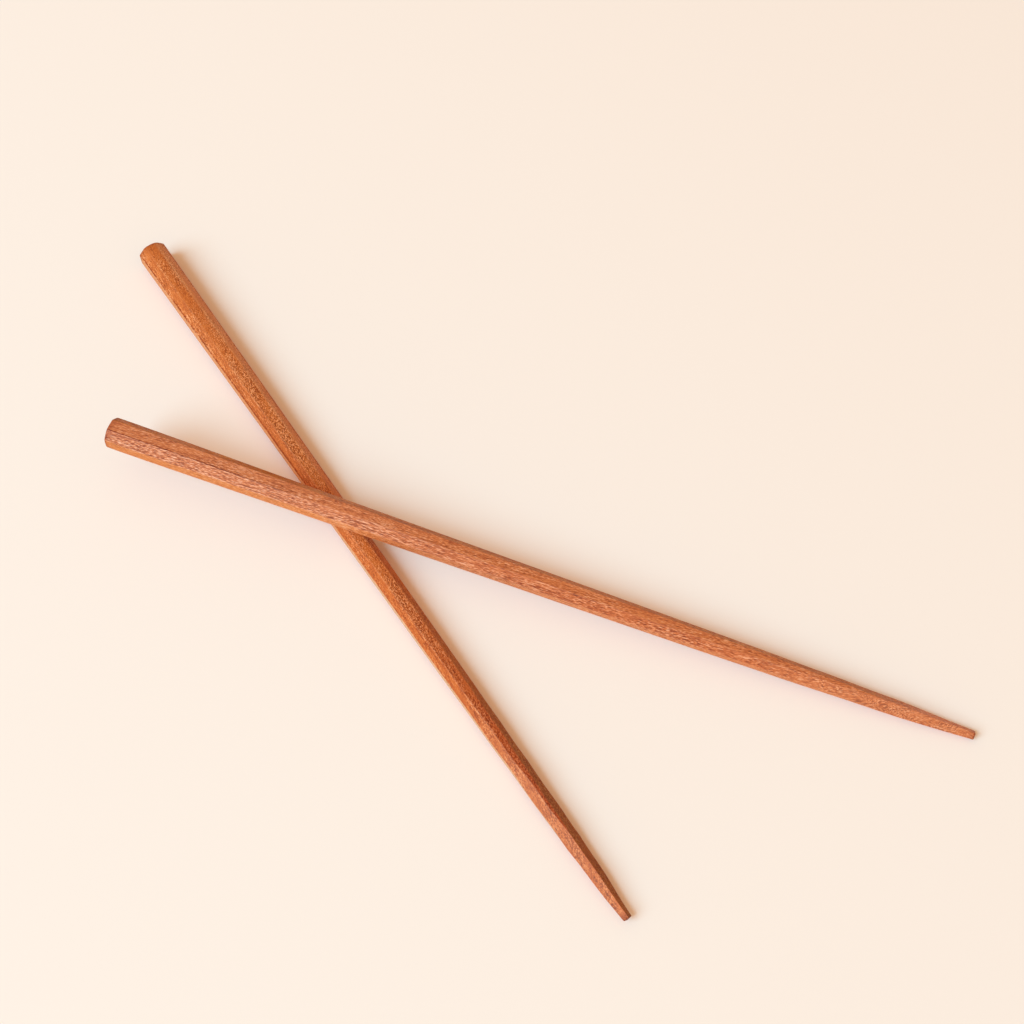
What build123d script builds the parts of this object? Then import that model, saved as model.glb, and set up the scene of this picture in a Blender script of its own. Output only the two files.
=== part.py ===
# A pair of wooden chopsticks lying crossed, the upper one leaning over the lower one.
# Sizes are in millimetres. Z is up and the surface that the pair lies on is Z = 0.
# X runs along the lower chopstick from butt to tip, and the origin is under the crossing.

import os
from math import asin, atan, atan2, cos, degrees, hypot, radians, sin, sqrt, tan

from build123d import *

# The chopstick: four main faces planed to a taper, and four facets planed along their corners.
stick_length = 235.0        # from the butt end to the tip end
butt_across = 8.0           # between opposite main faces at the butt
tip_curve_length = 70.0     # the stretch before the tip in which the main faces curve in
curve_start_across = 5.3    # between opposite main faces where that stretch starts
tip_across = 1.85           # between opposite main faces at the tip
butt_corner_across = 7.9    # between opposite corner facets at the butt
tip_corner_across = 4.3     # between the same two planes carried on to the tip, past the facets' end
butt_rounding = 0.5         # taken up by the rounded rim of the butt end
tip_rounding = 0.4          # taken up by the rounded rim of the tip end

# How the pair lies.
lower_crossing = 110.0      # from the lower stick's butt to the crossing
upper_crossing = 67.5       # from the upper stick's butt to the crossing
crossing_angle = 35.7       # degrees from the lower stick to the upper one, seen from above
seat_gap = 0.05             # left between the two where they touch

# The upper stick's lean is worked out in this many turns, and the place where its tip comes down
# is searched at this spacing.
lean_turns = 12
search_step = 0.25

curve_start = stick_length - tip_curve_length


def straight_half(x):
    # Half the distance between main faces if their straight taper ran on to the tip.
    return (butt_across + (curve_start_across - butt_across) * x / curve_start) / 2


def main_half(x):
    # Half the distance between main faces: the straight taper, less a parabola past the curve's start.
    past = max(x - curve_start, 0.0) / tip_curve_length
    return straight_half(x) - (straight_half(stick_length) - tip_across / 2) * past ** 2


def corner_half(x):
    # Half the distance between corner facets, a straight taper all the way.
    return (butt_corner_across + (tip_corner_across - butt_corner_across) * x / stick_length) / 2


def facet_half_width(x):
    # Half the width of a corner facet, none where the main faces already meet in a sharp corner.
    return max(sqrt(2) * main_half(x) - corner_half(x), 0.0)


def rounded_butt(half_across):
    # The rim at the butt, a curve tangent to the end and to the face that starts there.
    height = half_across(0)
    return Bezier((0, height - butt_rounding), (0, height), (butt_rounding, half_across(butt_rounding)))


def planed_pair(edge_line, tip_height):
    # Everything between two opposite faces whose side outline is the given line from butt to tip.
    start = edge_line @ 0
    outline = edge_line + mirror(edge_line, Plane.XZ)
    outline += Line((start.X, start.Y), (start.X, -start.Y))
    outline += Line((stick_length, tip_height), (stick_length, -tip_height))
    return extrude(make_face(outline), amount=butt_corner_across, both=True)


def main_pair():
    # Two opposite main faces: rounded rim, straight taper, curve, and rounded rim at the tip.
    rim_start = stick_length - tip_rounding
    rim_height = main_half(rim_start)
    curve_middle = (curve_start + rim_start) / 2
    tip_height = tip_across / 2
    edge_line = rounded_butt(main_half)
    edge_line += Line((butt_rounding, main_half(butt_rounding)), (curve_start, main_half(curve_start)))
    edge_line += Bezier(
        (curve_start, main_half(curve_start)),
        (curve_middle, straight_half(curve_middle)),
        (rim_start, rim_height),
    )
    edge_line += Bezier(
        (rim_start, rim_height),
        (stick_length, tip_height),
        (stick_length, tip_height - tip_rounding),
    )
    return planed_pair(edge_line, tip_height - tip_rounding)


def corner_pair():
    # Two opposite corner facets: rounded rim at the butt and a straight taper past the curved tip.
    edge_line = rounded_butt(corner_half)
    edge_line += Line(
        (butt_rounding, corner_half(butt_rounding)),
        (stick_length, corner_half(stick_length)),
    )
    return planed_pair(edge_line, corner_half(stick_length))


def make_stick():
    # What all four planed pairs leave. The axis lies on X from the butt at 0, one corner facet below.
    main_faces = main_pair()
    corner_facets = corner_pair()
    stick = Rot(45, 0, 0) * main_faces & Rot(-45, 0, 0) * main_faces
    return stick & corner_facets & Rot(90, 0, 0) * corner_facets


# The lower stick's axis leans by this much, because its bottom facet lies flat on the surface.
facet_lean = atan((butt_corner_across - tip_corner_across) / 2 / stick_length)


def seat_height(pitch):
    # Height over the origin of the upper stick's bottom facet when it comes down on the lower stick's
    # top facet. Both facets slope, so they touch at a corner of the patch where the two cross.
    turn = radians(crossing_angle)
    heights = []
    for side in (-1, 1):
        y = side * facet_half_width(lower_crossing)
        for upper_side in (-1, 1):
            across = upper_side * facet_half_width(upper_crossing)
            x = (y * cos(turn) - across) / sin(turn)
            along = x * cos(turn) + y * sin(turn)
            lower_top = 2 * corner_half(lower_crossing) - x * tan(2 * facet_lean)
            heights.append(lower_top + along * tan(pitch - facet_lean))
    return max(heights) + seat_gap


def pitch_to_surface(x, seat):
    # Pitch of the upper stick that brings its underside at x down to the surface.
    underside = min(corner_half(x), sqrt(2) * main_half(x))
    reach = x - upper_crossing
    rise = corner_half(upper_crossing) - underside
    return atan2(rise, reach) + asin(seat / hypot(reach, rise))


def lean_upper_stick():
    # Works out the pitch from the seat height and the other way round until both hold.
    # The stick stops at the first place near its tip that meets the surface.
    steps = int((tip_curve_length - tip_rounding) / search_step)
    places = [curve_start + search_step * i for i in range(steps + 1)]
    pitch = facet_lean
    for _ in range(lean_turns):
        seat = seat_height(pitch)
        pitch = min(pitch_to_surface(x, seat) for x in places)
    return pitch, seat


stick = make_stick()
upper_pitch, upper_seat = lean_upper_stick()

lower_on_facet = Pos(-lower_crossing, 0, corner_half(lower_crossing))
lower_chopstick = Rot(0, degrees(facet_lean), 0) * lower_on_facet * stick

upper_on_facet = Pos(-upper_crossing, 0, corner_half(upper_crossing))
upper_lean = Rot(0, 0, crossing_angle) * Rot(0, degrees(upper_pitch), 0)
upper_chopstick = Pos(0, 0, upper_seat) * upper_lean * upper_on_facet * stick

os.makedirs("parts", exist_ok=True)
export_step(lower_chopstick, "parts/lower_chopstick.step")
export_step(upper_chopstick, "parts/upper_chopstick.step")
print(f"upper stick pitch {degrees(upper_pitch):.2f} degrees, seat {upper_seat:.3f} mm")
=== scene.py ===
from math import cos, pi, radians, sin, sqrt

import bpy
import numpy as np
from mathutils import Matrix, Vector


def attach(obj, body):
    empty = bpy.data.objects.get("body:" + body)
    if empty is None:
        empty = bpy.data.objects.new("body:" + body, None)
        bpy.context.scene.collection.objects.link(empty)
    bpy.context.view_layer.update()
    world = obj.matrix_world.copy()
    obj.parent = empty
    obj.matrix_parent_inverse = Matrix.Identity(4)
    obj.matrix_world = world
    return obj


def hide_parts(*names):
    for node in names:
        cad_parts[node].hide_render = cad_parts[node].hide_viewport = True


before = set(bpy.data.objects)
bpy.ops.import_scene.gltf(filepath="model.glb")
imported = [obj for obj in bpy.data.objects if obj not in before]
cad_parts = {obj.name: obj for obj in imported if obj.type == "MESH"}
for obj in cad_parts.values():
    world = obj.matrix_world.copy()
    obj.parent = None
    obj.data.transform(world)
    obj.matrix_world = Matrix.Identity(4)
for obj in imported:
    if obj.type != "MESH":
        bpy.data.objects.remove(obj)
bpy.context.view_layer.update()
mm = 0.001
print("frame loaded:", ", ".join(sorted(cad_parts)))


# colours

def hexToLinear(code):
    # sRGB hex to the linear values that a shader takes
    channels = [int(code[i:i + 2], 16) / 255 for i in (1, 3, 5)]
    linear = [c / 12.92 if c <= 0.04045 else ((c + 0.055) / 1.055) ** 2.4 for c in channels]
    return (*linear, 1.0)


def addNode(tree, kind, inputs=None, **settings):
    # one node with its settings; an input is a plain value or the socket that feeds it
    node = tree.nodes.new("ShaderNode" + kind)
    for name, value in settings.items():
        setattr(node, name, value)
    for socket, value in (inputs or {}).items():
        if isinstance(value, bpy.types.NodeSocket):
            tree.links.new(value, node.inputs[socket])
        else:
            node.inputs[socket].default_value = value
    return node


# camera, set to the photograph's view: it looks down at the table from the upper stick's near side

photoView = {
    "elevation": 60.27,          # degrees above the table
    "azimuth": 55.93,            # degrees round from looking along +Y
    "distance": 428.5 * mm,      # from the table at the picture's middle
    "target": (18.9 * mm, 39.3 * mm, 0.0),
    "focalPixels": 1604.0,       # focal length in pixels of the square picture
    "picturePixels": 1024.0,
    "sensorWidth": 36.0,         # mm
    "clipNear": 0.01,            # metres, as is the next
    "clipFar": 20.0,
}


def fromPhoto(right, away, up):
    # a direction as the picture shows it, turned into the part's frame
    turn = radians(photoView["azimuth"])
    return Vector((cos(turn) * right - sin(turn) * away, sin(turn) * right + cos(turn) * away, up))


def makeCamera():
    lean = radians(photoView["elevation"])
    back = fromPhoto(0, -cos(lean), sin(lean))
    data = bpy.data.cameras.new("photoCamera")
    data.sensor_width = photoView["sensorWidth"]
    data.lens = photoView["sensorWidth"] * photoView["focalPixels"] / photoView["picturePixels"]
    data.clip_start = photoView["clipNear"]
    data.clip_end = photoView["clipFar"]
    camera = bpy.data.objects.new("photoCamera", data)
    camera.location = Vector(photoView["target"]) + back * photoView["distance"]
    camera.rotation_mode = "QUATERNION"
    camera.rotation_quaternion = (-back).to_track_quat("-Z", "Y")
    bpy.context.scene.collection.objects.link(camera)
    bpy.context.scene.camera = camera


makeCamera()
print("camera set")


# table and light

studio = {
    "table": "#fcebdb",          # warm cream card
    "tableSize": 2.4,            # metres, as are the lamp's sizes
    "tableDrop": 0.02 * mm,      # keeps the card off the facet that lies on it
    "tableRoughness": 0.9,
    "tableGloss": 0.1,
    "room": "#ffd8b0",           # warm light from all round, which fills the shadows
    "roomStrength": 0.755,
    "roomFrom": (-0.83, -0.56, 0.0),    # the side where it is stronger: right, away, up, as in the picture
    "roomLean": 0.4,             # by this share, and weaker by as much on the other side
    "backdrop": "#f6e4d2",       # what is seen past the table's edge
    "keyFrom": (-0.63, -0.39, 0.67),    # right, away, up, as in the picture
    "keyDistance": 3.5,
    "keySize": 2.6,
    "keyPower": 150.0,
    "keyColour": "#a0dbff",      # a large window's light, cool enough to make the sum on the table neutral
}


def makeTable():
    half = studio["tableSize"] / 2
    corners = [(-half, -half), (half, -half), (half, half), (-half, half)]
    mesh = bpy.data.meshes.new("table")
    mesh.from_pydata([(x, y, -studio["tableDrop"]) for x, y in corners], [], [(0, 1, 2, 3)])
    table = bpy.data.objects.new("table", mesh)
    bpy.context.scene.collection.objects.link(table)
    material = bpy.data.materials.new("matt cream card")
    material.use_nodes = True
    shader = material.node_tree.nodes["Principled BSDF"]
    shader.inputs["Base Color"].default_value = hexToLinear(studio["table"])
    shader.inputs["Roughness"].default_value = studio["tableRoughness"]
    shader.inputs["Specular IOR Level"].default_value = studio["tableGloss"]
    mesh.materials.append(material)


def makeKeyLamp():
    data = bpy.data.lights.new("key", "AREA")
    data.shape = "DISK"
    data.size = studio["keySize"]
    data.energy = studio["keyPower"]
    data.color = hexToLinear(studio["keyColour"])[:3]
    lamp = bpy.data.objects.new("key", data)
    toward = fromPhoto(*studio["keyFrom"]).normalized()
    lamp.location = toward * studio["keyDistance"]
    lamp.rotation_mode = "QUATERNION"
    lamp.rotation_quaternion = toward.to_track_quat("Z", "Y")
    bpy.context.scene.collection.objects.link(lamp)


def makeRoom():
    # diffuse surfaces are lit by the room's own light, while the camera and glossy rays see the backdrop
    world = bpy.data.worlds.new("soft room")
    bpy.context.scene.world = world
    world.use_nodes = True
    tree = world.node_tree
    direction = addNode(tree, "TexCoord")
    facing = addNode(tree, "VectorMath", {
        0: direction.outputs["Generated"], 1: fromPhoto(*studio["roomFrom"]).normalized(),
    }, operation="DOT_PRODUCT")
    strength = addNode(tree, "MapRange", {
        "Value": facing.outputs["Value"], "From Min": -1.0, "From Max": 1.0,
        "To Min": studio["roomStrength"] * (1 - studio["roomLean"]),
        "To Max": studio["roomStrength"] * (1 + studio["roomLean"]),
    })
    room = tree.nodes["Background"]
    room.inputs["Color"].default_value = hexToLinear(studio["room"])
    tree.links.new(strength.outputs[0], room.inputs["Strength"])
    backdrop = addNode(tree, "Background", {"Color": hexToLinear(studio["backdrop"])})
    path = addNode(tree, "LightPath")
    seen = addNode(tree, "Math", {
        0: path.outputs["Is Camera Ray"], 1: path.outputs["Is Glossy Ray"],
    }, operation="MAXIMUM")
    seen = addNode(tree, "Math", {
        0: seen.outputs[0], 1: path.outputs["Is Transmission Ray"],
    }, operation="MAXIMUM")
    mixed = addNode(tree, "MixShader", {
        "Fac": seen.outputs[0], 1: room.outputs[0], 2: backdrop.outputs[0],
    })
    tree.links.new(mixed.outputs[0], tree.nodes["World Output"].inputs["Surface"])


makeTable()
makeKeyLamp()
makeRoom()
bpy.context.scene.view_settings.view_transform = "Standard"
print("table and light set")


# the sticks: four main faces planed to a taper that curves in at the tip, four facets along the corners

stick = {
    "length": 235.0,             # mm, as are the rest; these are the CAD stick's own sizes
    "buttAcross": 8.0,           # between opposite main faces
    "curveLength": 70.0,         # the stretch before the tip where they curve in
    "curveAcross": 5.3,
    "tipAcross": 1.85,
    "buttCornerAcross": 7.9,     # between opposite corner facets
    "tipCornerAcross": 4.3,
    "buttRim": 0.5,              # rounding of the rims
    "tipRim": 0.4,
    "sanded": 0.004,             # taken off all round, which keeps the surface inside the CAD faces
    "ringSpacing": 0.6,          # of the mesh along the stick
    "rimRings": 9,
    "endRings": 7,
    "mainSteps": 14,             # mesh steps across a main face and across a corner facet
    "facetSteps": 10,
    "leastFacetSpan": 0.09,      # radians kept for a corner after its facet has run out
    "ridgeReach": 0.05,          # share of the radius over which a ridge counts as worn and takes a painted highlight
    "endReach": 0.7,             # over which the ends' darker grain fades out
    "endDepth": 0.05,            # points of the CAD stick this close to an end lie in its flat
    "endStretch": 1.0,           # and those this close show which end is the wider one
    "mergeDigits": 7,            # of a metre, to which its doubled points are merged
    "upperFrom": 0.5,            # sines of the angles from which, and by which, a ridge is an upper one
    "upperFull": 0.9,
    "faceTurn": 2.4,             # radians by which a plane's waves are out of step from face to face
    "faceStretch": 0.13,         # share by which they are longer from face to face
}


def straightHalf(x):
    start = stick["length"] - stick["curveLength"]
    return (stick["buttAcross"] + (stick["curveAcross"] - stick["buttAcross"]) * x / start) / 2


def mainHalf(x):
    # straight taper, less a parabola past the start of the curve
    past = np.maximum(x - stick["length"] + stick["curveLength"], 0) / stick["curveLength"]
    return straightHalf(x) - (straightHalf(stick["length"]) - stick["tipAcross"] / 2) * past ** 2


def cornerHalf(x):
    # straight taper all the way
    along = x / stick["length"]
    return (stick["buttCornerAcross"] * (1 - along) + stick["tipCornerAcross"] * along) / 2


def stickRings():
    # place along the stick, inset of the faces and share of the section for every ring from the middle
    # of the butt end out over its rim, along the stick, over the tip's rim and in to the tip's middle
    rim = np.linspace(0, 1, stick["rimRings"])
    share = np.linspace(0, 1, stick["endRings"])[1:-1]
    along = np.linspace(
        stick["buttRim"], stick["length"] - stick["tipRim"], int(stick["length"] / stick["ringSpacing"])
    )[1:-1]
    x = np.concatenate([
        0 * share, stick["buttRim"] * rim ** 2, along,
        stick["length"] - stick["tipRim"] * (1 - rim) ** 2, 0 * share + stick["length"],
    ])
    inset = np.concatenate([
        0 * share + stick["buttRim"], stick["buttRim"] * (1 - rim) ** 2, 0 * along,
        stick["tipRim"] * rim ** 2, 0 * share + stick["tipRim"],
    ])
    scale = np.concatenate([share, 1 + 0 * rim, 1 + 0 * along, 1 + 0 * rim, share[::-1]])
    return x, inset, scale


def stickAngles(x):
    # angles round each ring: a facet's span reaches to where it meets the main faces, and both kinds of
    # span have their steps crowded towards the corners
    half = cornerHalf(x)
    reach = np.arctan2(np.maximum(sqrt(2) * mainHalf(x) - half, 0), half)
    span = np.maximum(reach, stick["leastFacetSpan"])[:, None]
    facet = np.sin(np.linspace(-pi / 2, pi / 2, stick["facetSteps"] + 1)[:-1])
    main = np.sin(np.linspace(-pi / 2, pi / 2, stick["mainSteps"] + 1)[:-1])
    quarter = np.concatenate([span * facet, pi / 4 + (pi / 4 - span) * main], axis=1)
    return np.concatenate([quarter + pi / 2 * k for k in range(4)], axis=1)


def stickSurface(shape):
    # radius(angle) = 1 / (sum over the eight faces of (cos(angle to face) / distance of face) ^ crispness)
    # ^ (1 / crispness): the octagon of the eight planed faces, with corners softened inwards.
    # Each face's distance also dips by slow waves of its own along the stick, as a hand plane leaves it.
    x, inset, scale = stickRings()
    angle = stickAngles(x)
    faces = np.arange(8)
    distance = np.where(faces % 2, mainHalf(x)[:, None], cornerHalf(x)[:, None])
    distance = distance - inset[:, None] - stick["sanded"]
    for wave in shape["waves"]:
        length = wave["length"] * (1 + stick["faceStretch"] * faces)
        ripple = np.sin(2 * pi * x[:, None] / length + stick["faceTurn"] * faces + wave["phase"])
        depth = wave["depth"] * np.interp(x, wave["run"], [0, 1])
        distance = distance - depth[:, None] * (1 + ripple) / 2
    towards = np.maximum(np.cos(angle[:, :, None] - pi / 4 * faces), 0) / distance[:, None, :]
    nearest = towards.max(axis=2)
    # the two upper ridges may have a crispness of their own, blended in by height
    upperCrispness = shape.get("upperCrispness", shape["crispness"])
    upper = np.clip((np.sin(angle) - stick["upperFrom"]) / (stick["upperFull"] - stick["upperFrom"]), 0, 1)
    power = np.interp(x, *shape["crispness"])[:, None] ** (1 - upper)
    power = power * np.interp(x, *upperCrispness)[:, None] ** upper
    pull = (towards / nearest[:, :, None]) ** power[:, :, None]
    radius = scale[:, None] / (nearest * pull.sum(axis=2) ** (1 / power))
    rings = np.stack([x[:, None] + 0 * angle, radius * np.cos(angle), radius * np.sin(angle)], axis=2)

    # nearness to a ridge: how nearly the second face reaches as far out as the first
    side = (scale == 1)[:, None]
    second = np.sort(towards, axis=2)[:, :, -2] / nearest
    ridge = np.clip((second - 1 + stick["ridgeReach"]) / stick["ridgeReach"], 0, 1) * side
    # nearness to an end, fading over the end's own reach
    fromEnd = np.minimum(x, stick["length"] - x)
    end = np.exp(-fromEnd / stick["endReach"])[:, None] + 0 * angle
    # the way the surface faces: each planed face's own direction, by its pull, and on the ends the way
    # along the stick
    lie = np.stack([
        np.where(side, 0, np.sign(x - stick["length"] / 2)[:, None]) + 0 * angle,
        (pull * np.cos(pi / 4 * faces)).sum(axis=2) * side,
        (pull * np.sin(pi / 4 * faces)).sum(axis=2) * side,
    ], axis=2)
    outward = lie / np.linalg.norm(lie, axis=2, keepdims=True)
    return rings, {"ridge": ridge, "endGrain": end, "outward": outward}


def stickMesh(name, rings, marks, matrix):
    # quads between neighbouring rings, and a fan from the middle of each end
    count, around = rings.shape[:2]
    ends = np.array([[0, 0, 0], [stick["length"], 0, 0]])
    points = np.concatenate([rings.reshape(-1, 3), ends]) * mm
    turn = np.array(matrix)
    points = points @ turn[:3, :3].T + turn[:3, 3]
    row = np.arange(count - 1)[:, None] * around
    here = np.arange(around)[None, :]
    there = (here + 1) % around
    quads = np.stack([row + here, row + there, row + around + there, row + around + here], axis=2)
    butt = count * around
    last = (count - 1) * around
    here, there = here[0], there[0]
    fans = np.concatenate([
        np.stack([0 * here + butt, there, here], axis=1),
        np.stack([0 * here + butt + 1, last + here, last + there], axis=1),
    ])
    mesh = bpy.data.meshes.new(name)
    mesh.from_pydata(points.tolist(), [], [*quads.reshape(-1, 4).tolist(), *fans.tolist()])
    mesh.polygons.foreach_set("use_smooth", np.ones(len(mesh.polygons), bool))
    # the middles of the ends take the marks of the rings beside them
    for label, values in marks.items():
        middles = [values[end, :1].reshape(1, -1) for end in (0, -1)]
        whole = np.concatenate([values.reshape(butt, -1), *middles])
        isVector = whole.shape[1] == 3
        attribute = mesh.attributes.new(label, "FLOAT_VECTOR" if isVector else "FLOAT", "POINT")
        attribute.data.foreach_set("vector" if isVector else "value", whole.ravel())
    mesh.update()
    return mesh


def stickPlace(node):
    # the CAD stick's own axis: from the middle of its wider end to the middle of the other, flat side up
    co = np.zeros(len(node.data.vertices) * 3)
    node.data.vertices.foreach_get("co", co)
    points = np.unique(np.round(co.reshape(-1, 3), stick["mergeDigits"]), axis=0)
    axis = np.linalg.svd(points - points.mean(0), full_matrices=False)[2][0]
    run = points @ axis
    middles = []
    reaches = []
    for end in (run.min(), run.max()):
        middle = points[abs(run - end) < stick["endDepth"] * mm].mean(0)
        beside = points[abs(run - end) < stick["endStretch"] * mm]
        middles.append(middle)
        reaches.append(np.linalg.norm(beside - middle, axis=1).max())
    butt, tip = middles if reaches[0] > reaches[1] else middles[::-1]
    forward = Vector(tip - butt).normalized()
    left = Vector((0, 0, 1)).cross(forward).normalized()
    up = forward.cross(left)
    place = Matrix((forward, left, up)).transposed().to_4x4()
    place.translation = Vector(butt)
    return place


# oiled hardwood

lowerStick = {
    "node": "lower_chopstick",
    "slot": "lower_wood",
    # how crisp the ridges are, by mm from the butt: as planed, but for the two upper ones, which are
    # worn soft by handling at the butt
    "crispness": ([0, 40, 112, 235], [70, 80, 130, 130]),
    "upperCrispness": ([0, 40, 80, 112, 235], [12, 16, 40, 130, 130]),
    # waves left by the plane: mm, radians, and the stretch of the stick in which they grow from none
    "waves": [
        {"length": 80.0, "depth": 0.05, "phase": 0.4, "run": (20, 90)},
        {"length": 13.0, "depth": 0.14, "phase": 1.0, "run": (160, 195)},
    ],
    "wood": {
        "name": "planed and oiled orange hardwood",
        # colours of the grain, from the open pores to the pale flecks between them
        "ramp": [(0.0, "#883a16"), (0.36, "#ba5a26"), (0.64, "#d37230"), (1.0, "#ea9b66")],
        "layers": {"spacing": 1.3, "turn": 70.0, "dive": 0.02, "weight": 0.3},
        # sizes in mm; every kind of mark shows most on the faces that are turned this way, in degrees
        # round from the stick's left side, and by the least share on the others
        "streaks": [
            {"length": 5.0, "width": 0.6, "weight": 0.9, "turn": 135.0, "least": 0.5},
            {"length": 2.0, "width": 0.18, "weight": 1.0, "turn": 135.0, "least": 0.3},
            {"length": 0.5, "width": 0.16, "weight": 3.2, "turn": 80.0, "least": 0.55},
        ],
        "pores": {
            "length": 1.6, "width": 0.36, "core": 0.12, "reach": 0.36, "weight": 0.4,
            "turn": 80.0, "least": 0.3,
        },
        "markFacing": (0.7, 1.0),    # cosines of the angles from which, and by which, a face is turned so
        # how the fibres run across the stick: all along, and more and more past a place near the tip
        "slope": 0.12,
        "runout": {"start": 170.0, "slope": 0.2},
        "wander": {"length": 45.0, "across": 14.0, "amount": 1.4},
        "curl": {"length": 9.0, "across": 5.0, "amount": 0.7, "run": (150.0, 215.0)},
        # where the marks are weaker and stronger, between these values of a noise
        "patches": {"length": 16.0, "across": 2.6, "between": (0.3, 0.7), "least": 0.35, "most": 1.5},
        # parts of the log, and on some faces painted light: the way they face, the cosines from which and
        # by which a face is in them, the places in mm from the butt where they are none and full, and their
        # tint
        "zones": [
            # painted highlight: the narrow near side face made paler all along but the tip, and more so
            # from 100 mm on, for the pale table's reflection in it
            {"turn": 180, "facing": (0.85, 0.98), "run": (215, 195), "tint": "#7c5e3c", "blend": "SCREEN"},
            {"turn": 180, "facing": (0.85, 0.98), "run": (100, 130), "tint": "#00685a", "blend": "SCREEN"},
            # painted light: the far main face made lighter at the butt, where the rounder section turns it
            # up to the light
            {"turn": 45, "facing": (0.72, 0.97), "run": (110, 70), "tint": "#7d553a", "blend": "SCREEN"},
            {"turn": 45, "facing": (0.72, 0.97), "run": (85, 200), "tint": "#daf0d1", "blend": "MULTIPLY"},
            {"turn": 85, "facing": (0.6, 0.95), "run": (100, 210), "tint": "#dab2ae", "blend": "MULTIPLY"},
            {"turn": 135, "facing": (0.75, 0.95), "run": (45, 70), "tint": "#faf0e6", "blend": "MULTIPLY"},
            # painted sheen: the near main face made paler and pinker towards the tip
            {"turn": 135, "facing": (0.75, 0.95), "run": (160, 200), "tint": "#003230", "blend": "SCREEN"},
        ],
        # thin lines along a ridge: the way across to them, how far, how that changes per mm, and how wide
        "veins": [
            {
                "turn": 90, "offset": 1.95, "dive": 0.0039, "width": 0.22,
                "run": (112, 95), "tint": "#d0a896", "blend": "MULTIPLY",
            },
        ],
        # paler along the ridges: wear, and a painted highlight where the ridges catch the light
        "wearAndHighlight": {"share": 0.3, "colour": "#eba873"},
        "endTint": "#c2a898",        # the ends drink more oil
        "roughness": {"pores": 0.64, "flecks": 0.34, "ridges": -0.08},
        "ior": 1.5,
        "gloss": 0.14,
        "relief": 0.02 * mm,
    },
}
upperStick = {
    "node": "upper_chopstick",
    "slot": "upper_wood",
    "crispness": ([0, 2, 8, 20, 235], [20, 40, 90, 170, 130]),
    "waves": [
        {"length": 95.0, "depth": 0.04, "phase": 1.9, "run": (0, 1)},
        {"length": 17.0, "depth": 0.08, "phase": 0.3, "run": (165, 200)},
    ],
    "wood": {
        "name": "planed and oiled pinkish hardwood",
        "ramp": [(0.0, "#8a442c"), (0.36, "#bb633c"), (0.64, "#da814d"), (1.0, "#f2b28d")],
        "layers": {"spacing": 1.7, "turn": 25.0, "dive": 0.03, "weight": 0.3},
        "streaks": [
            {"length": 9.0, "width": 0.5, "weight": 0.7, "turn": 110.0, "least": 0.7},
            {"length": 3.0, "width": 0.16, "weight": 2.0, "turn": 135.0, "least": 0.4},
            {"length": 1.0, "width": 0.14, "weight": 1.9, "turn": 110.0, "least": 0.75},
        ],
        "pores": {
            "length": 2.6, "width": 0.4, "core": 0.12, "reach": 0.36, "weight": 0.4,
            "turn": 135.0, "least": 0.5,
        },
        "markFacing": (0.7, 1.0),
        "slope": -0.08,
        "runout": {"start": 175.0, "slope": -0.5},
        "wander": {"length": 40.0, "across": 14.0, "amount": 1.6},
        "curl": {"length": 7.0, "across": 4.0, "amount": 1.0, "run": (165.0, 205.0)},
        "patches": {"length": 20.0, "across": 3.0, "between": (0.3, 0.7), "least": 0.6, "most": 1.3},
        "zones": [
            # painted light: the narrow near side face made lighter all along and more so towards the butt,
            # with less blue there, for the light that the pale table throws up on it
            {"turn": 180, "facing": (0.75, 0.95), "run": (-2, -1), "tint": "#502a00", "blend": "SCREEN"},
            {"turn": 180, "facing": (0.75, 0.95), "run": (85, 55), "tint": "#552d00", "blend": "SCREEN"},
            {"turn": 180, "facing": (0.75, 0.95), "run": (85, 55), "tint": "#fff8e4", "blend": "MULTIPLY"},
            {"turn": 135, "facing": (0.75, 0.95), "run": (60, 120), "tint": "#f4e3d3", "blend": "MULTIPLY"},
            {"turn": 135, "facing": (0.75, 0.95), "run": (175, 200), "tint": "#5c3724", "blend": "SCREEN"},
            {"turn": 90, "facing": (0.75, 0.95), "run": (60, 100), "tint": "#faf2e4", "blend": "MULTIPLY"},
            # painted shade: the far main face made darker and far less blue all along but the tip, to take
            # out some of the table's glancing reflection in it
            {"turn": 45, "facing": (0.75, 0.95), "run": (225, 205), "tint": "#e6dc7b", "blend": "MULTIPLY"},
        ],
        "veins": [
            {
                "turn": 0, "offset": -1.5, "dive": -0.0039, "width": 0.26,
                "run": (60, 30), "tint": "#b07c68", "blend": "MULTIPLY",
            },
        ],
        # paler along the ridges: wear, and a painted highlight where the ridges catch the light
        "wearAndHighlight": {"share": 0.2, "colour": "#efb596"},
        "endTint": "#c6a29a",
        "roughness": {"pores": 0.54, "flecks": 0.26, "ridges": -0.06},
        "ior": 1.5,
        "gloss": 0.14,
        "relief": 0.025 * mm,
    },
}


noiseMiddle = 0.5    # what Blender's noise varies about


def crossways(turn):
    # a direction across the stick, in degrees round from its left side
    return (0.0, cos(radians(turn)), sin(radians(turn)))


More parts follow.
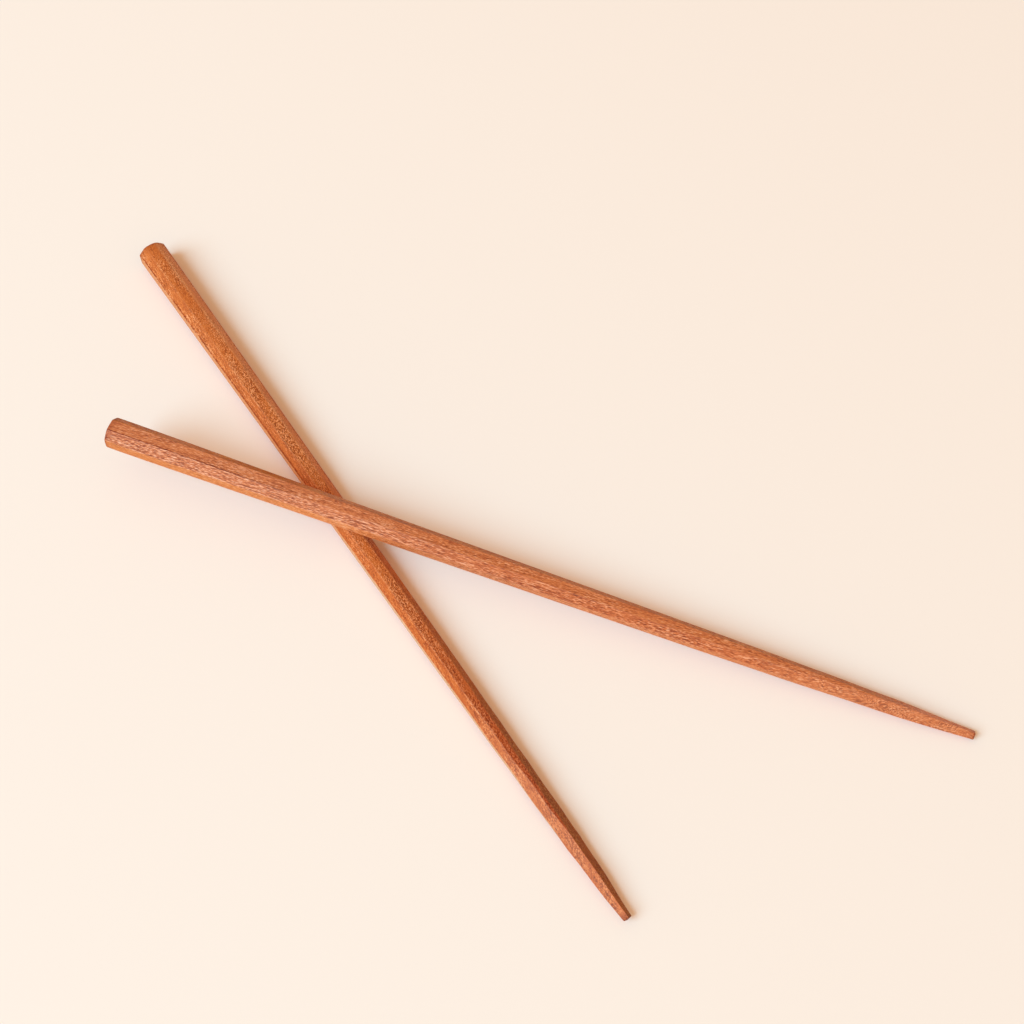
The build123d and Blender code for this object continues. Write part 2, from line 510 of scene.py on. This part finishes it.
def oiledHardwood(wood, place):
    # planed and oiled hardwood: layers and fibres that wander along the stick, broken up by short dark pore
    # lines with pale flecks between them, and a satin sheen that the open pores interrupt.
    # Pores of about 0.1 mm are drawn three to four times as wide, so that they show.
    material = bpy.data.materials.new(wood["name"])
    material.use_nodes = True
    tree = material.node_tree
    shader = tree.nodes["Principled BSDF"]

    # the stick's own millimetres, X along the grain from the butt, Y to its left, Z up
    coords = addNode(tree, "TexCoord")
    grain = addNode(tree, "Mapping", {
        "Vector": coords.outputs["Object"],
        "Location": place.translation,
        "Rotation": place.to_euler("XYZ"),
        "Scale": (mm, mm, mm),
    }, vector_type="TEXTURE").outputs[0]
    along = addNode(tree, "SeparateXYZ", {0: grain}).outputs["X"]
    outward = addNode(tree, "Attribute", attribute_name="outward").outputs["Vector"]
    ridge = addNode(tree, "Attribute", attribute_name="ridge").outputs["Fac"]
    end = addNode(tree, "Attribute", attribute_name="endGrain").outputs["Fac"]

    def showing(turn, cosines, least=0.0):
        # from the least to 1, by how nearly the surface faces that way across the stick
        facing = addNode(tree, "VectorMath", {0: outward, 1: crossways(turn)}, operation="DOT_PRODUCT")
        return addNode(tree, "MapRange", {
            "Value": facing.outputs["Value"], "From Min": cosines[0], "From Max": cosines[1],
            "To Min": least,
        }, interpolation_type="SMOOTHSTEP").outputs[0]

    def stretched(fibres, length, across):
        # coordinates in which a pattern one unit wide comes out this long and this wide
        return addNode(tree, "VectorMath", {
            0: fibres, 1: (1 / length, 1 / across, 1 / across),
        }, operation="MULTIPLY").outputs[0]

    # the fibres run a little across the stick, and more so where the tip is cut in: to the grain's Y comes
    # slope x along + slope x (way past the start)^2 / (2 x way from start to tip)
    runout = wood["runout"]
    past = addNode(tree, "Math", {0: along, 1: runout["start"]}, operation="SUBTRACT")
    past = addNode(tree, "Math", {0: past.outputs[0], 1: 0.0}, operation="MAXIMUM")
    past = addNode(tree, "Math", {0: past.outputs[0], 1: 2.0}, operation="POWER")
    past = addNode(tree, "Math", {
        0: past.outputs[0], 1: runout["slope"] / (2 * (stick["length"] - runout["start"])),
    }, operation="MULTIPLY")
    shift = addNode(tree, "Math", {
        0: along, 1: wood["slope"], 2: past.outputs[0],
    }, operation="MULTIPLY_ADD")
    shift = addNode(tree, "CombineXYZ", {"Y": shift.outputs[0]})
    bent = addNode(tree, "VectorMath", {0: grain, 1: shift.outputs[0]}, operation="ADD").outputs[0]

    # the grain wanders slowly all along, and curls where the tip's curved faces cut across it
    curl = wood["curl"]
    curlShare = addNode(tree, "MapRange", {
        "Value": along, "From Min": curl["run"][0], "From Max": curl["run"][1],
    }, interpolation_type="SMOOTHSTEP").outputs[0]
    for bend, share in ((wood["wander"], 1.0), (curl, curlShare)):
        noise = addNode(tree, "TexNoise", {
            "Vector": stretched(grain, bend["length"], bend["across"]), "Scale": 1.0, "Detail": 1.0,
        })
        centred = addNode(tree, "VectorMath", {
            0: noise.outputs["Color"], 1: (noiseMiddle, noiseMiddle, noiseMiddle),
        }, operation="SUBTRACT")
        sideways = addNode(tree, "VectorMath", {
            0: centred.outputs[0], 1: (0.0, 2 * bend["amount"], 2 * bend["amount"]),
        }, operation="MULTIPLY")
        sideways = addNode(tree, "VectorMath", {
            0: sideways.outputs[0], "Scale": share,
        }, operation="SCALE")
        bent = addNode(tree, "VectorMath", {0: bent, 1: sideways.outputs[0]}, operation="ADD").outputs[0]

    # growth layers lie across one direction of the section
    layer = wood["layers"]
    across = Vector(crossways(layer["turn"])) + Vector((layer["dive"], 0, 0))
    layerPlace = addNode(tree, "VectorMath", {
        0: bent, 1: across / layer["spacing"],
    }, operation="DOT_PRODUCT")
    layers = addNode(tree, "TexNoise", {
        "W": layerPlace.outputs["Value"], "Scale": 1.0, "Detail": 2.0,
    }, noise_dimensions="1D")
    ground = addNode(tree, "MapRange", {
        "Value": layers.outputs["Fac"],
        "To Min": noiseMiddle - layer["weight"] / 2, "To Max": noiseMiddle + layer["weight"] / 2,
    }).outputs[0]

    # long fibres, dashes and specks are the same kind of streak at several sizes
    marks = 0.0
    for streak in wood["streaks"]:
        noise = addNode(tree, "TexNoise", {
            "Vector": stretched(bent, streak["length"], streak["width"]), "Scale": 1.0, "Detail": 1.0,
        })
        centred = addNode(tree, "Math", {0: noise.outputs["Fac"], 1: noiseMiddle}, operation="SUBTRACT")
        weighed = addNode(tree, "Math", {0: centred.outputs[0], 1: streak["weight"]}, operation="MULTIPLY")
        shows = showing(streak["turn"], wood["markFacing"], streak["least"])
        marks = addNode(tree, "Math", {
            0: weighed.outputs[0], 1: shows, 2: marks,
        }, operation="MULTIPLY_ADD").outputs[0]

    # one pore line in each long cell
    pore = wood["pores"]
    cell = addNode(tree, "TexVoronoi", {
        "Vector": stretched(bent, pore["length"], pore["width"]), "Scale": 1.0,
    })
    pores = addNode(tree, "MapRange", {
        "Value": cell.outputs["Distance"], "From Min": pore["reach"], "From Max": pore["core"],
        "To Max": -pore["weight"],
    })
    shows = showing(pore["turn"], wood["markFacing"], pore["least"])
    marks = addNode(tree, "Math", {
        0: pores.outputs[0], 1: shows, 2: marks,
    }, operation="MULTIPLY_ADD").outputs[0]

    # the marks come and go in patches
    patch = wood["patches"]
    patches = addNode(tree, "TexNoise", {
        "Vector": stretched(bent, patch["length"], patch["across"]), "Scale": 1.0, "Detail": 1.0,
    }).outputs["Fac"]
    strength = addNode(tree, "MapRange", {
        "Value": patches, "From Min": patch["between"][0], "From Max": patch["between"][1],
        "To Min": patch["least"], "To Max": patch["most"],
    }).outputs[0]
    value = addNode(tree, "Math", {0: marks, 1: strength, 2: ground}, operation="MULTIPLY_ADD").outputs[0]

    ramp = addNode(tree, "ValToRGB", {"Fac": value})
    stops = ramp.color_ramp.elements
    while len(stops) < len(wood["ramp"]):
        stops.new(1.0)    # each is put in its place below
    for stop, (position, code) in zip(stops, wood["ramp"]):
        stop.position = position
        stop.color = hexToLinear(code)
    colour = ramp.outputs["Color"]

    # what tints the grain: parts of the log and painted light on some faces, thin veins, ridges paler with
    # wear and a painted highlight, and oil in the end grain
    tints = [(zone, showing(zone["turn"], zone["facing"])) for zone in wood["zones"]]
    for vein in wood["veins"]:
        across = Vector(crossways(vein["turn"])) + Vector((vein["dive"], 0, 0))
        aside = addNode(tree, "VectorMath", {0: grain, 1: across}, operation="DOT_PRODUCT")
        apart = addNode(tree, "Math", {0: aside.outputs["Value"], 1: vein["offset"]}, operation="SUBTRACT")
        apart = addNode(tree, "Math", {0: apart.outputs[0]}, operation="ABSOLUTE")
        # pale marks break the vein up
        apart = addNode(tree, "Math", {
            0: marks, 1: vein["width"], 2: apart.outputs[0],
        }, operation="MULTIPLY_ADD")
        shows = addNode(tree, "MapRange", {
            "Value": apart.outputs[0], "From Min": vein["width"], "From Max": 0.0,
        }, interpolation_type="SMOOTHSTEP").outputs[0]
        tints.append((vein, shows))
    for tint, shows in tints:
        runs = addNode(tree, "MapRange", {
            "Value": along, "From Min": tint["run"][0], "From Max": tint["run"][1],
        }, interpolation_type="SMOOTHSTEP").outputs[0]
        share = addNode(tree, "Math", {0: shows, 1: runs}, operation="MULTIPLY").outputs[0]
        colour = addNode(tree, "Mix", {"Factor": share, 6: colour, 7: hexToLinear(tint["tint"])},
                         data_type="RGBA", blend_type=tint["blend"]).outputs[2]
    # ridges paler in patches: wear, and a painted highlight where they catch the light
    wearAndHighlight = wood["wearAndHighlight"]
    wornAndHighlit = addNode(tree, "Math", {0: ridge, 1: patches}, operation="MULTIPLY").outputs[0]
    wornAndHighlit = addNode(tree, "MapRange", {"Value": wornAndHighlit, "To Max": wearAndHighlight["share"]}).outputs[0]
    colour = addNode(tree, "Mix", {"Factor": wornAndHighlit, 6: colour, 7: hexToLinear(wearAndHighlight["colour"])},
                     data_type="RGBA").outputs[2]
    colour = addNode(tree, "Mix", {"Factor": end, 6: colour, 7: hexToLinear(wood["endTint"])},
                     data_type="RGBA", blend_type="MULTIPLY").outputs[2]
    tree.links.new(colour, shader.inputs["Base Color"])

    # satin on the flecks, rough in the pores, smoother along the handled ridges
    rough = wood["roughness"]
    roughness = addNode(tree, "MapRange", {
        "Value": value, "To Min": rough["pores"], "To Max": rough["flecks"],
    }).outputs[0]
    roughness = addNode(tree, "Math", {
        0: ridge, 1: rough["ridges"], 2: roughness,
    }, operation="MULTIPLY_ADD").outputs[0]
    tree.links.new(roughness, shader.inputs["Roughness"])
    bump = addNode(tree, "Bump", {"Strength": 1.0, "Distance": wood["relief"], "Height": value})
    tree.links.new(bump.outputs[0], shader.inputs["Normal"])
    shader.inputs["IOR"].default_value = wood["ior"]
    shader.inputs["Specular IOR Level"].default_value = wood["gloss"]
    return material


def makeStick(shape):
    place = stickPlace(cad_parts[shape["node"]])
    name = shape["node"] + "_wood"
    mesh = stickMesh(name, *stickSurface(shape), place)
    mesh.materials.append(oiledHardwood(shape["wood"], place))
    piece = bpy.data.objects.new(name, mesh)
    bpy.context.scene.collection.objects.link(piece)
    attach(piece, "root")
    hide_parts(shape["node"])
    print(name, "made with", len(mesh.polygons), "faces")


makeStick(lowerStick)
makeStick(upperStick)
